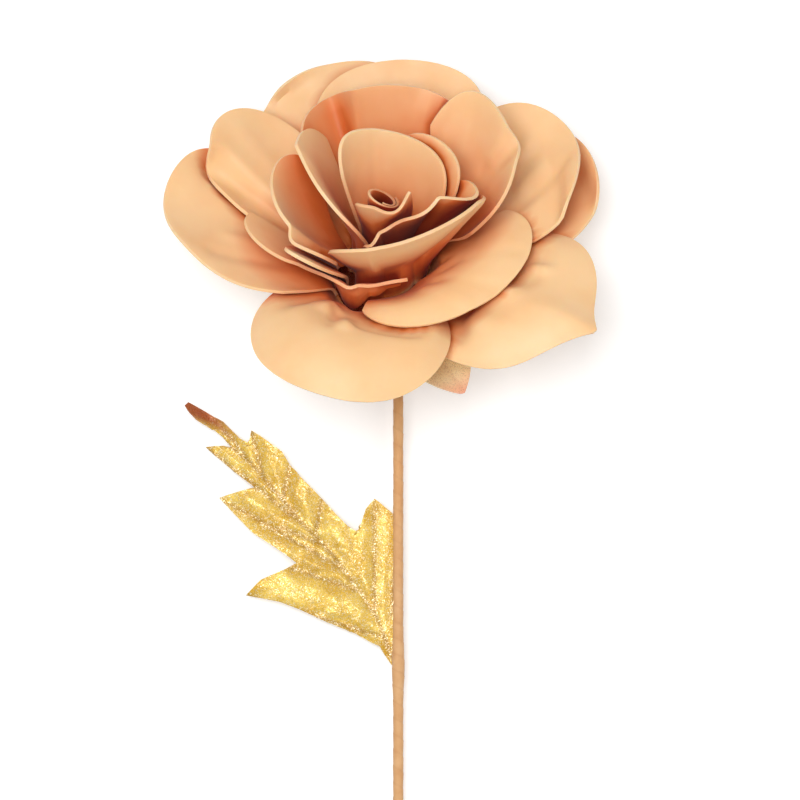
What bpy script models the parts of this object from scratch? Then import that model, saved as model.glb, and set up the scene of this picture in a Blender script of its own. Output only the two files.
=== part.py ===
"""A foam rose on a paper-taped wire stem, lying face up as it rests on a table.

World frame: the origin is the middle of the stem's cut end, +Y runs up the stem to the bloom, +Z is up.
Bloom frame: its origin is the receptacle, where all petals start. Azimuth 0 faces the stem's tail (-Y),
azimuth 90 faces +X. Lean is the angle between the bloom's axis and a point of a petal, seen from the
receptacle, and reach is the distance from the receptacle. A petal is a sheet whose lean is a function of
azimuth and reach, and the petals are laid on one another from the bud outwards.
"""

import math
from collections import namedtuple

import bmesh
import bpy
import numpy as np

# Foam sheet and the space left between neighbouring pieces
FOAM = 0.0020
ROLL_FOAM = 0.0016
CLEARANCE = 0.0003
LAYER_GAP = 0.0007
LAYER_SPREAD = 0.012
MOST_SLANT = 3.0
LEAST_SINE = 0.15

# Receptacle and bud
CORE_RADIUS = 0.0097
CORE_HEIGHT = 0.0400
CORE_BORE_DEPTH = 0.0250
CORE_CHAMFER = 0.0015
CORE_SIDES = 16
BUD_HEIGHT = 0.0820
BUD_RADIUS = 0.0098
BUD_HEAD_ROOM = 0.004
ROLL_INNER_RADIUS = 0.0042
ROLL_TURNS = 1.55
ROLL_SLANT = 0.0050
ROLL_SLANT_TURN = 1.0
ROLL_COLUMNS = 28
ROLL_ROWS = 4

# Stem
WIRE_RADIUS = 0.0017
TAPE_WALL = 0.0010
TAPE_RADIUS = WIRE_RADIUS + CLEARANCE + TAPE_WALL
NODE_SWELL = 0.0007
NODE_LENGTH = 0.014
NODE_STATIONS = (-2, -1, 0, 1, 2)
STEM_LENGTH = 0.425
WIRE_PROUD = 0.0010
NECK_RUN = 0.050
NECK_DROP = 0.010
NECK_TURNS = 9
NECK_PULL = 0.020
BLOOM_SHIFT = 0.009
BLOOM_TILT = math.radians(32)

# Calyx
SEPALS = 5
SEPAL_START = 0.0115
SEPAL_REACH = 0.092
SEPAL_NOTCH = 0.032
SEPAL_AZIMUTH = 29
SEPAL_LEAN = 74
SEPAL_SAG = 19
LOBE_SHARPNESS = 2.2
ROOT_RING = 0.036
SEPAL_SPREAD = 6
FABRIC = 0.0009
CALYX_COLUMNS = 40
CALYX_ROWS = 6

# Leaf
LEAF_BASE_Y = 0.251
LEAF_DROOP_WIDTH = 0.042
LEAF_LIFT = 0.0012
LEAF_ARCH = 0.006
LEAF_ARCH_SPAN = 0.12
LEAF_COLUMNS = 6
LEAF_WIRE_RADIUS = 0.0007

# Rows of (left edge, midrib, right edge) from the leaf's base to its tip, in millimetres beside the stem
# and up from the base. The teeth follow the side veins.
LEAF_ROWS = [
    ((-4, 1), (-2, 0), (-1, 1)),
    ((-11, 12), (-5, 9), (0, 18)),
    ((-26, 20), (-8, 17), (1, 39)),
    ((-44, 27), (-11, 25), (1, 60)),
    ((-57, 33), (-14, 31), (0, 77)),
    ((-70, 38), (-18, 37), (-3, 90)),
    ((-90, 42), (-21, 42), (-14, 99)),
    ((-81, 51), (-26, 48), (-19, 93)),
    ((-67, 57), (-32, 57), (-22, 84)),
    ((-60, 61), (-38, 65), (-24, 79)),
    ((-68, 67), (-43, 71), (-30, 83)),
    ((-86, 79), (-49, 77), (-37, 90)),
    ((-106, 100), (-55, 83), (-45, 99)),
    ((-96, 103), (-61, 90), (-52, 106)),
    ((-85, 106), (-68, 98), (-58, 112)),
    ((-94, 113), (-74, 105), (-64, 119)),
    ((-114, 130), (-80, 112), (-69, 127)),
    ((-104, 131), (-85, 118), (-77, 133)),
    ((-99, 130), (-90, 123), (-87, 140)),
    ((-104, 136), (-94, 129), (-86, 131)),
    ((-110, 141), (-98, 134), (-94, 135)),
    ((-119, 146), (-106, 143), (-104, 145)),
    ((-123, 150), (-116, 149), (-114, 151)),
    ((-126, 154), (-125, 155), (-124, 156)),
]

# Grid that carries the laid surface: azimuth columns and reach rows
COLUMNS = 180
ROWS = 64
NEAREST = 0.010
FARTHEST = 0.168
SMOOTH_COLUMNS = 4
SMOOTH_ROWS = 3
EASING = 0.025
EASE_BESIDE = 18
EASE_BEYOND = 0.018
EASE_BELOW = 0.003
OWN_BESIDE = 3
OWN_BEYOND = 0.0025
CORNER_ROUNDING = 0.30
SIDE_FLATTENING = 0.7
SIDE_OVERRUN = 1.3
TIP_WIDTH = 0.16
WAVE_RATE = 7

# Faces: the most degrees and length of a petal's face, and how much closer rows lie at the root
FACE_DEGREES = 10.0
FACE_LENGTH = 0.0136
ROOT_CROWDING = 1.45
TAPE_SIDES = 10
WIRE_SEGMENTS = 2
SEAM_REACH = 1e-6
AXIS_REACH = 1e-4

# Which side of a mapped grid takes its thickness
OUTWARD = 1.0
INWARD = -1.0

Petal = namedtuple(
    "Petal",
    "name azimuth half start reach_left reach reach_right lean_left lean lean_right"
    " cup curl tip tip_at wave",
)

# Azimuth, half width and leans in degrees, lengths in millimetres, from the bud outwards.
# cup opens the middle of a petal, curl turns its rim outwards, tip adds a point at tip_at of the width.
PETALS = [
    Petal("bud_wrap", 0, 96, 14, 86, 83, 92, 11, 9, 13, 0, 0, 0, 0, 1),
    Petal("bud_back_petal", -168, 80, 16, 80, 108, 104, 16, 23, 22, 4, 2, 0, 0, 0),
    Petal("bud_back_petal_right", 136, 40, 18, 92, 101, 92, 25, 29, 26, 0, 2, 0, 0, 0),
    Petal("inner_left_pointed_petal", -88, 52, 18, 97, 82, 72, 39, 20, 17, 0, 4, 13, -0.62, 0),
    Petal("inner_wrap_petal", 44, 73, 18, 80, 83, 108, 17, 15, 29, 0, 2, 0, 0, 1),
    Petal("inner_front_petal", 24, 80, 20, 86, 85, 113, 34, 23, 40, 3, 2, 0, 0, 0),
    Petal("inner_left_petal", -92, 43, 22, 104, 98, 74, 38, 38, 31, 4, 3, 0, 0, 0),
    Petal("middle_back_petal", -179, 50, 22, 114, 118, 106, 42, 40, 42, 8, 2, 0, 0, 0),
    Petal("middle_right_petal", 131, 42, 22, 80, 124, 94, 45, 47, 43, 8, 3, 0, 0, 0),
    Petal("middle_tab_petal", -72, 20, 22, 62, 78, 56, 41, 41, 39, 0, 2, 0, 0, 0),
    Petal("middle_left_petal", -38, 66, 31, 116, 54, 56, 62, 42, 38, 2, 3, 0, 0, 1),
    Petal("middle_upper_left_petal", -129, 32, 29, 42, 138, 50, 60, 60, 60, 6, 4, 0, 0, 0),
    Petal("middle_lower_right_petal", 46, 63, 27, 56, 79, 111, 59, 60, 62, -4, 8, 0, 0, 0),
    Petal("outer_top_petal", 174, 36, 27, 130, 136, 120, 57, 57, 61, 6, 3, 0, 0, 0),
    Petal("outer_right_petal", 121, 34, 24, 99, 143, 106, 62, 61, 60, 6, 3, 0, 0, 1),
    Petal("outer_left_petal", -99, 36, 30, 120, 139, 88, 67, 66, 65, 4, 3, 0, 0, 1),
    Petal("outer_top_left_petal", -163, 33, 25, 128, 138, 120, 63, 60, 61, 6, 3, 0, 0, 0),
    Petal("outer_right_back_petal", 112, 28, 34, 88, 143, 120, 72, 68, 66, 6, 3, 0, 0, 0),
    Petal("outer_bottom_petal", -14, 62, 28, 76, 120, 54, 72, 74, 72, -10, 5, 0, 0, 1),
    Petal("outer_corner_petal", 62, 38, 32, 100, 129, 126, 80, 74, 71, -4, 5, 14, -0.03, 1),
]

azimuths = np.linspace(-math.pi, math.pi, COLUMNS, endpoint=False)
reaches = np.linspace(NEAREST, FARTHEST, ROWS)


def through_three(left, middle, right, s):
    """The parabola through left, middle and right at s = -1, 0 and 1."""
    return middle + (right - left) / 2 * s + ((right + left) / 2 - middle) * s * s


def wrapped(angle):
    return (angle + math.pi) % (2 * math.pi) - math.pi


def rim_reach(petal, s, corner=CORNER_ROUNDING):
    """How far the petal's edge lies from the receptacle, at s of its half width."""
    full = through_three(petal.reach_left, petal.reach, petal.reach_right, s) / 1000
    rounding = corner * (full - petal.start / 1000) * np.abs(s) ** 5
    point = petal.tip / 1000 * np.exp(-(((s - petal.tip_at) / TIP_WIDTH) ** 2))
    return full - rounding + point


def free_lean(petal, s, t):
    """The lean the petal would have with nothing under it, at t of the way from its start to its rim."""
    rim = through_three(petal.lean_left, petal.lean, petal.lean_right, s)
    form = petal.cup * np.sin(math.pi * t) + petal.curl * (t**4 - 0.5)
    lean = rim + form * (1 - SIDE_FLATTENING * np.clip(s, -1, 1) ** 4)
    lean = lean + petal.wave * np.sin(WAVE_RATE * s + petal.azimuth) * t * t
    return np.radians(lean)


def smoothed(field):
    """The field averaged over its neighbours, going round in azimuth and held at its ends in reach."""
    for axis, count, mode in ((0, SMOOTH_COLUMNS, "wrap"), (1, SMOOTH_ROWS, "edge")):
        width = [(0, 0), (0, 0)]
        width[axis] = (count, count)
        padded = np.pad(field, width, mode=mode)
        weights = np.hanning(2 * count + 3)[1:-1]
        length = field.shape[axis]
        shifted = [np.take(padded, range(i, i + length), axis=axis) for i in range(2 * count + 1)]
        field = np.tensordot(weights / weights.sum(), shifted, axes=1)
    return field


def smooth_max(a, b):
    return 0.5 * (a + b + np.sqrt((a - b) ** 2 + EASING**2))


def resting(free, bed, skin):
    """Leans of a sheet that would take the free leans, but lies on the bed and never enters the skin."""
    return smooth_max(free, np.maximum(smoothed(bed), skin))


def laid_leans(petal, bed, skin):
    """Lean of the petal over the whole grid, with its own ground and a wider one that eases its neighbours."""
    s = wrapped(azimuths - math.radians(petal.azimuth))[:, None] / math.radians(petal.half)
    s = np.broadcast_to(s, bed.shape)
    start = petal.start / 1000
    rim = rim_reach(petal, np.clip(s, -1, 1))
    t = np.clip((reaches[None, :] - start) / (rim - start), 0, 1)
    leans = resting(free_lean(petal, np.clip(s, -SIDE_OVERRUN, SIDE_OVERRUN), t), bed, skin)

    def ground(beside, beyond, edge):
        within = np.abs(s) <= 1 + beside / petal.half
        return within & (reaches[None, :] >= start - EASE_BELOW) & (reaches[None, :] <= edge + beyond)

    uncut = rim_reach(petal, np.clip(s, -1, 1), corner=0)
    own = ground(OWN_BESIDE, OWN_BEYOND, rim)
    return leans, own, ground(EASE_BESIDE, EASE_BEYOND, uncut)


def covered(under, leans, inside, thickness):
    """The surface after a sheet of this thickness is laid on it."""
    along = np.gradient(leans, reaches, axis=1) * reaches[None, :]
    around = np.gradient(leans, azimuths, axis=0) / np.maximum(np.sin(leans), LEAST_SINE)
    slant = np.sqrt(1 + np.minimum(along**2 + around**2, MOST_SLANT))
    gap = LAYER_GAP + LAYER_SPREAD * reaches[None, :]
    outer = leans + (thickness + gap) * slant / reaches[None, :]
    return np.where(inside, np.maximum(under, outer), under)


def sampled(field, azimuth, reach):
    """The field read between its grid points."""
    column = (azimuth - azimuths[0]) / (azimuths[1] - azimuths[0])
    row = np.clip((reach - NEAREST) / (reaches[1] - reaches[0]), 0, ROWS - 1.001)
    c, r = int(math.floor(column)), int(row)
    fc, fr = column - c, row - r
    low = field[c % COLUMNS, r] * (1 - fr) + field[c % COLUMNS, r + 1] * fr
    high = field[(c + 1) % COLUMNS, r] * (1 - fr) + field[(c + 1) % COLUMNS, r + 1] * fr
    return low * (1 - fc) + high * fc


def bud_surface():
    """The lean of the receptacle and the rolled bud on it."""
    radius = max(BUD_RADIUS, CORE_RADIUS) + CLEARANCE
    radius = np.where(reaches < BUD_HEIGHT + BUD_HEAD_ROOM, radius, 0.0)
    return np.broadcast_to(np.arcsin(np.minimum(radius / reaches, 1.0)), (COLUMNS, ROWS)).copy()


def in_bloom(azimuth, lean, reach):
    """A point in the bloom frame, as (across, up the bloom's face, along its axis)."""
    side = reach * math.sin(lean)
    return np.array([side * math.sin(azimuth), -side * math.cos(azimuth), reach * math.cos(lean)])


def under_roots(field):
    """The field bridged over its narrow hollows, at the petals' roots and beside them, as stiff cloth lies."""
    rows = reaches <= ROOT_RING
    bridged = field.copy()
    bridged[:, rows] = field[:, rows].max(axis=1, keepdims=True)
    return np.max([np.roll(bridged, i, axis=0) for i in range(-SEPAL_SPREAD, SEPAL_SPREAD + 1)], axis=0)


def lay_bloom():
    """Leans of each petal in turn, and of the calyx that lies on them all."""
    bed = bud_surface()
    skin = bed
    laid = []
    for petal in PETALS:
        leans, own, wide = laid_leans(petal, bed, skin)
        laid.append(leans)
        bed = covered(bed, leans, wide, FOAM)
        skin = covered(skin, leans, own, FOAM)
    beside = np.cos(azimuths - math.radians(SEPAL_AZIMUTH))
    free = np.radians(SEPAL_LEAN + SEPAL_SAG * np.maximum(beside, 0) ** 4)[:, None] * np.ones_like(bed)
    return laid, resting(free, under_roots(bed), under_roots(skin))


laid_petals, laid_calyx = lay_bloom()


def tilted(point):
    """A bloom-frame offset turned into the world."""
    x, y, w = point
    cos, sin = math.cos(BLOOM_TILT), math.sin(BLOOM_TILT)
    return np.array([x, y * cos + w * sin, -y * sin + w * cos])


def calyx_reach(azimuth, t):
    """Distance from the receptacle at t of the way from the star's hole to its edge."""
    lobe = abs(math.cos(SEPALS / 2 * (azimuth - math.radians(SEPAL_AZIMUTH)))) ** LOBE_SHARPNESS
    rim = SEPAL_NOTCH + (SEPAL_REACH - SEPAL_NOTCH) * lobe
    return SEPAL_START + (rim - SEPAL_START) * t**ROOT_CROWDING


def lowest_bloom_point():
    """How far the lowest petal or sepal lies under the receptacle."""
    lows = []
    for petal, leans in zip(PETALS, laid_petals):
        for s in np.linspace(-1, 1, 21):
            azimuth = math.radians(petal.azimuth + petal.half * s)
            for reach in np.linspace(petal.start / 1000, rim_reach(petal, s), 12):
                lean = sampled(leans, azimuth, reach) + FOAM / reach
                lows.append(tilted(in_bloom(azimuth, lean, reach))[2])
    for azimuth in np.linspace(-math.pi, math.pi, 72):
        for t in np.linspace(0, 1, 8):
            reach = calyx_reach(azimuth, t)
            lean = sampled(laid_calyx, azimuth, reach) + FABRIC / reach
            lows.append(tilted(in_bloom(azimuth, lean, reach))[2])
    return min(lows)


FLOOR = -TAPE_RADIUS
RECEPTACLE = np.array([-BLOOM_SHIFT, STEM_LENGTH + NECK_RUN, FLOOR - lowest_bloom_point()])
NECK_START = np.array([0, STEM_LENGTH, RECEPTACLE[2] - NECK_DROP])


def placed(point):
    return RECEPTACLE + tilted(point)


def on_stem(y):
    """A point of the straight stem's centre line."""
    return NECK_START * y / STEM_LENGTH


def neck_route():
    """Points of the stem's centre line where it bends up to the receptacle."""
    along = NECK_START / np.linalg.norm(NECK_START)
    first_pull = NECK_START + along * NECK_PULL
    last_pull = placed((0, 0, -NECK_PULL))
    bend = []
    for i in range(NECK_TURNS + 1):
        t = i / NECK_TURNS
        weights = ((1 - t) ** 3, 3 * t * (1 - t) ** 2, 3 * t * t * (1 - t), t**3)
        bend.append(sum(w * p for w, p in zip(weights, (NECK_START, first_pull, last_pull, RECEPTACLE))))
    return bend


def new_material(name, color, roughness, metallic=0.0):
    material = bpy.data.materials.new(name)
    material.use_nodes = True
    shader = material.node_tree.nodes["Principled BSDF"]
    shader.inputs["Base Color"].default_value = (*color, 1)
    shader.inputs["Roughness"].default_value = roughness
    shader.inputs["Metallic"].default_value = metallic
    return material


def add_object(name, data, material):
    thing = bpy.data.objects.new(name, data)
    data.materials.append(material)
    model.objects.link(thing)
    return thing


def sheet(name, columns, rows, place, thickness, material, side, seam=False):
    """A grid mapped by place(s, t), s from -1 to 1 and t from 0 to 1, given its thickness on one side."""
    grid = bmesh.new()
    bmesh.ops.create_grid(grid, x_segments=columns, y_segments=rows, size=1.0)
    for vertex in grid.verts:
        vertex.co = place(vertex.co.x, (vertex.co.y + 1) / 2)
    if seam:
        bmesh.ops.remove_doubles(grid, verts=grid.verts, dist=SEAM_REACH)
    mesh = bpy.data.meshes.new(name)
    grid.to_mesh(mesh)
    grid.free()
    mesh.shade_smooth()
    thing = add_object(name, mesh, material)
    solid = thing.modifiers.new("Thickness", "SOLIDIFY")
    solid.thickness = thickness
    solid.offset = side
    solid.use_even_offset = False
    return thing


def wire(name, points, radius, material):
    """A round wire along the points, with flat ends."""
    curve = bpy.data.curves.new(name, "CURVE")
    curve.dimensions = "3D"
    spline = curve.splines.new("POLY")
    spline.points.add(len(points) - 1)
    for spot, point in zip(spline.points, points):
        spot.co = (*point, 1)
    curve.bevel_depth = radius
    curve.bevel_resolution = WIRE_SEGMENTS
    curve.use_fill_caps = True
    return add_object(name, curve, material)


def petal_object(petal, leans, material):
    width = 2 * math.radians(petal.half) * petal.reach / 1000 * math.sin(math.radians(petal.lean))
    columns = math.ceil(max(2 * petal.half / FACE_DEGREES, width / FACE_LENGTH))
    rows = math.ceil((petal.reach - petal.start) / 1000 / FACE_LENGTH)

    def place(s, t):
        azimuth = math.radians(petal.azimuth + petal.half * s)
        start = petal.start / 1000
        reach = start + (rim_reach(petal, s) - start) * t**ROOT_CROWDING
        return placed(in_bloom(azimuth, sampled(leans, azimuth, reach), reach))

    return sheet(petal.name, columns, rows, place, FOAM, material, OUTWARD)


def calyx_object(material):
    """A star of sepals cut from one piece of cloth, threaded on the stem under the petals."""
    def place(s, t):
        azimuth = math.pi * s
        reach = calyx_reach(azimuth, t)
        return placed(in_bloom(azimuth, sampled(laid_calyx, azimuth, reach), reach))

    return sheet("calyx", CALYX_COLUMNS, CALYX_ROWS, place, FABRIC, material, OUTWARD, seam=True)


def centre_roll_object(material):
    """The strip of foam rolled up as the bud's heart."""
    outer = BUD_RADIUS - ROLL_FOAM
    base = CORE_HEIGHT + CLEARANCE

    def place(s, t):
        turn = (s + 1) / 2
        angle = 2 * math.pi * ROLL_TURNS * turn
        radius = ROLL_INNER_RADIUS + (outer - ROLL_INNER_RADIUS) * turn
        top = BUD_HEIGHT + ROLL_SLANT * math.cos(angle + ROLL_SLANT_TURN)
        return placed((radius * math.sin(angle), -radius * math.cos(angle), base + (top - base) * t))

    return sheet("centre_roll", ROLL_COLUMNS, ROLL_ROWS, place, ROLL_FOAM, material, OUTWARD)


def core_object(material):
    """The turned plug that the stem's wire is pushed into and the bud is glued round."""
    bore = WIRE_RADIUS + CLEARANCE
    profile = [
        (0, CORE_HEIGHT),
        (CORE_RADIUS - CORE_CHAMFER, CORE_HEIGHT),
        (CORE_RADIUS, CORE_HEIGHT - CORE_CHAMFER),
        (CORE_RADIUS, CORE_RADIUS - TAPE_RADIUS),
        (TAPE_RADIUS, 0),
        (bore, 0),
        (bore, CORE_BORE_DEPTH),
        (0, CORE_BORE_DEPTH),
    ]
    mesh = bpy.data.meshes.new("bud_core")
    edges = [(i, i + 1) for i in range(len(profile) - 1)]
    mesh.from_pydata([(radius, 0, z) for radius, z in profile], edges, [])
    thing = add_object("bud_core", mesh, material)
    screw = thing.modifiers.new("Turn", "SCREW")
    screw.steps = CORE_SIDES
    screw.render_steps = CORE_SIDES
    screw.use_merge_vertices = True
    screw.merge_threshold = AXIS_REACH
    thing.location = tuple(RECEPTACLE)
    thing.rotation_euler = (-BLOOM_TILT, 0, 0)
    return thing


def tape_object(neck, material):
    """Paper tape wound round the wire, as a sleeve that swells where it binds the leaf."""
    points = [on_stem(WIRE_PROUD)]
    points += [on_stem(LEAF_BASE_Y + NODE_LENGTH * station) for station in NODE_STATIONS]
    points += neck[:-1] + [placed((0, 0, -2 * CLEARANCE))]
    side = np.array([1.0, 0, 0])

    def place(s, t):
        i = min(round(t * (len(points) - 1)), len(points) - 1)
        before = points[max(i - 1, 0)]
        after = points[min(i + 1, len(points) - 1)]
        along = (after - before) / np.linalg.norm(after - before)
        up = np.cross(side, along)
        up = up / np.linalg.norm(up)
        swell = NODE_SWELL * math.exp(-(((points[i][1] - LEAF_BASE_Y) / NODE_LENGTH) ** 2))
        radius = TAPE_RADIUS + swell
        angle = math.pi * s
        return points[i] + radius * (math.sin(angle) * np.cross(along, up) + math.cos(angle) * up)

    return sheet("stem_tape", TAPE_SIDES, len(points) - 1, place, TAPE_WALL, material, INWARD, seam=True)


def leaf_height(x, y):
    """Height of the leaf's upper face: close under the stem, and down on the table away from it."""
    under_stem = on_stem(y)[2] - TAPE_RADIUS - NODE_SWELL - CLEARANCE
    on_table = FLOOR + FABRIC + LEAF_WIRE_RADIUS * 2 + LEAF_LIFT
    away = 1 - math.exp(-((x / LEAF_DROOP_WIDTH) ** 2))
    arch = LEAF_ARCH * math.sin(math.pi * min(abs(x) / LEAF_ARCH_SPAN, 1)) ** 2
    return under_stem + (on_table - under_stem) * away + arch * away


def leaf_point(across, row):
    """The leaf's upper face at across, -1 to 1 from the left edge to the right, in row units."""
    low = min(int(row), len(LEAF_ROWS) - 2)
    edges = []
    for near, far in zip(LEAF_ROWS[low], LEAF_ROWS[low + 1]):
        edges.append([a + (b - a) * (row - low) for a, b in zip(near, far)])
    left, middle, right = edges
    edge = left if across < 0 else right
    x, y = [(m + (e - m) * abs(across)) / 1000 for m, e in zip(middle, edge)]
    return np.array([x, y + LEAF_BASE_Y, leaf_height(x, y + LEAF_BASE_Y)])


def leaf_object(material):
    last = len(LEAF_ROWS) - 1
    return sheet("leaf", LEAF_COLUMNS, last, lambda s, t: leaf_point(s, t * last), FABRIC, material, INWARD)


def leaf_wire_object(material):
    """The wire glued along the back of the leaf's midrib."""
    below = FABRIC + CLEARANCE + LEAF_WIRE_RADIUS
    rows = range(1, len(LEAF_ROWS) - 1)
    points = [leaf_point(0, row) - np.array([0, 0, below]) for row in rows]
    return wire("leaf_wire", points, LEAF_WIRE_RADIUS, material)


for old in list(bpy.data.objects):
    bpy.data.objects.remove(old)
model = bpy.data.collections.new("foam_rose")
bpy.context.scene.collection.children.link(model)

foam = new_material("petal_foam", (0.87, 0.53, 0.27), 0.6)
core_foam = new_material("core_foam", (0.85, 0.62, 0.38), 0.8)
gold_cloth = new_material("gold_cloth", (0.72, 0.50, 0.12), 0.45, 0.3)
paper_tape = new_material("paper_tape", (0.65, 0.40, 0.19), 0.8)
steel = new_material("steel_wire", (0.45, 0.43, 0.40), 0.35, 1.0)

for petal, leans in zip(PETALS, laid_petals):
    petal_object(petal, leans, foam)
centre_roll_object(foam)
core_object(core_foam)
calyx_object(gold_cloth)
neck = neck_route()
wire("stem_wire", [on_stem(0), *neck, placed((0, 0, CORE_BORE_DEPTH - CLEARANCE))], WIRE_RADIUS, steel)
tape_object(neck, paper_tape)
leaf_object(gold_cloth)
leaf_wire_object(steel)
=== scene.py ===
import math
from collections import namedtuple

import bpy
import numpy as np
from mathutils import Matrix, Vector, noise
from mathutils.bvhtree import BVHTree


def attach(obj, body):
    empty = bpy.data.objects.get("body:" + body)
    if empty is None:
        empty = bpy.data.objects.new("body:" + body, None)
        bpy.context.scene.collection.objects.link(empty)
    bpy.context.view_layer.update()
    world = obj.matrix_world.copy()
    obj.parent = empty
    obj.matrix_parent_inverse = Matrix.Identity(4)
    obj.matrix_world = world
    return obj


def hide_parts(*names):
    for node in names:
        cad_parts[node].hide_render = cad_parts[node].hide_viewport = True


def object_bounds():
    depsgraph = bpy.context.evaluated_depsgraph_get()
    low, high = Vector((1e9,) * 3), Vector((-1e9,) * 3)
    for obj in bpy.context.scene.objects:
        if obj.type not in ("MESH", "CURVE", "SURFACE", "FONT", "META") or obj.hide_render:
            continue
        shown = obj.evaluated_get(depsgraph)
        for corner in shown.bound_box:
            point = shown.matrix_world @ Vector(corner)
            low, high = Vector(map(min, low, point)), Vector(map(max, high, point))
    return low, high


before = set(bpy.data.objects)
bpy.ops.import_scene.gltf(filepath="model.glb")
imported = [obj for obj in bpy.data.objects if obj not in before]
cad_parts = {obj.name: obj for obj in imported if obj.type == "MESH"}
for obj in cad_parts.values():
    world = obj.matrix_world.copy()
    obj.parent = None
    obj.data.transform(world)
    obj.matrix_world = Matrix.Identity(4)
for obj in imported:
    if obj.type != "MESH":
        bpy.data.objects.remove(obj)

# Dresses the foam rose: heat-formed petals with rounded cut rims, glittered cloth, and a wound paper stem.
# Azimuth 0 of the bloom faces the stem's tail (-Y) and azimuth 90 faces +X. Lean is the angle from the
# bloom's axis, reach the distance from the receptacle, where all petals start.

cad_low, cad_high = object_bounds()

# Foam sheet, and the space between layers
FOAM = 0.0020
ROLL_FOAM = 0.0016
CLEARANCE = 0.0003
LAYER_GAP = 0.0007
LAYER_SPREAD = 0.012
MOST_SLANT = 3.0
LEAST_SINE = 0.15

# Receptacle, at the height at which the lowest petal rests on the table, and bud
RECEPTACLE = np.array([-0.009, 0.475, 0.0230694])
BLOOM_TILT = math.radians(32)
CORE_RADIUS = 0.0097
CORE_HEIGHT = 0.0400
BUD_HEIGHT = 0.0820
BUD_RADIUS = 0.0098
BUD_HEAD_ROOM = 0.004
ROLL_INNER_RADIUS = 0.0056
ROLL_TURNS = 1.35
ROLL_SLANT = 0.0055
ROLL_SUNK = 0.0045
ROLL_SLANT_TURN = 1.0

# Stem
WIRE_RADIUS = 0.0017
TAPE_WALL = 0.0010
TAPE_RADIUS = WIRE_RADIUS + CLEARANCE + TAPE_WALL
NODE_SWELL = 0.0007
NODE_LENGTH = 0.014
STEM_LENGTH = 0.425
NECK_DROP = 0.010
NECK_START = np.array([0, STEM_LENGTH, RECEPTACLE[2] - NECK_DROP])
NECK_PULL = 0.020
WIRE_PROUD = 0.0010
FLOOR = -TAPE_RADIUS

# Calyx
SEPALS = 5
SEPAL_START = 0.0115
SEPAL_REACH = 0.092
SEPAL_NOTCH = 0.032
SEPAL_AZIMUTH = 31
SEPAL_LEAN = 74
SEPAL_SAG = 19
SEPAL_POINT = 0.8
ROOT_RING = 0.036
SEPAL_SPREAD = 6
FABRIC = 0.0009

# Leaf
LEAF_BASE_Y = 0.251
LEAF_DROOP_WIDTH = 0.042
LEAF_LIFT = 0.0012
LEAF_ARCH = 0.006
LEAF_ARCH_SPAN = 0.12
LEAF_WIRE_RADIUS = 0.0007

# Rows of (left edge, midrib, right edge) from the leaf's base to its tip, in millimetres beside the stem
# and up from the base
LEAF_ROWS = np.array([
    ((-4, 1), (-2, 0), (-1, 1)),
    ((-11, 12), (-5, 9), (0, 18)),
    ((-26, 20), (-8, 17), (1, 39)),
    ((-44, 27), (-11, 25), (1, 60)),
    ((-57, 33), (-14, 31), (0, 77)),
    ((-70, 38), (-18, 37), (-3, 90)),
    ((-90, 42), (-21, 42), (-14, 99)),
    ((-81, 51), (-26, 48), (-19, 93)),
    ((-67, 57), (-32, 57), (-22, 84)),
    ((-60, 61), (-38, 65), (-24, 79)),
    ((-68, 67), (-43, 71), (-30, 83)),
    ((-86, 79), (-49, 77), (-37, 90)),
    ((-106, 100), (-55, 83), (-45, 99)),
    ((-96, 103), (-61, 90), (-52, 106)),
    ((-85, 106), (-68, 98), (-58, 112)),
    ((-94, 113), (-74, 105), (-64, 119)),
    ((-114, 130), (-80, 112), (-69, 127)),
    ((-104, 131), (-85, 118), (-77, 133)),
    ((-99, 130), (-90, 123), (-87, 140)),
    ((-104, 136), (-94, 129), (-86, 131)),
    ((-110, 141), (-98, 134), (-94, 135)),
    ((-119, 146), (-106, 143), (-104, 145)),
    ((-123, 150), (-116, 149), (-114, 151)),
    ((-126, 154), (-125, 155), (-124, 156)),
]) / 1000

# Grid that carries the laid surface
COLUMNS = 180
ROWS = 64
NEAREST = 0.010
FARTHEST = 0.168
SMOOTH_COLUMNS = 4
SMOOTH_ROWS = 3
EASING = 0.025
EASE_BESIDE = 18
EASE_BEYOND = 0.018
EASE_BELOW = 0.003
OWN_BESIDE = 3
OWN_BEYOND = 0.0025
CORNER_ROUNDING = 0.30
SIDE_FLATTENING = 0.7
SIDE_OVERRUN = 1.3
TIP_WIDTH = 0.16
TIP_SHARPNESS = 1.2
WAVE_RATE = 7
ROOT_CROWDING = 1.45

Petal = namedtuple(
    "Petal",
    "name azimuth half start reach_left reach reach_right lean_left lean lean_right"
    " cup curl tip tip_at wave",
)

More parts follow.
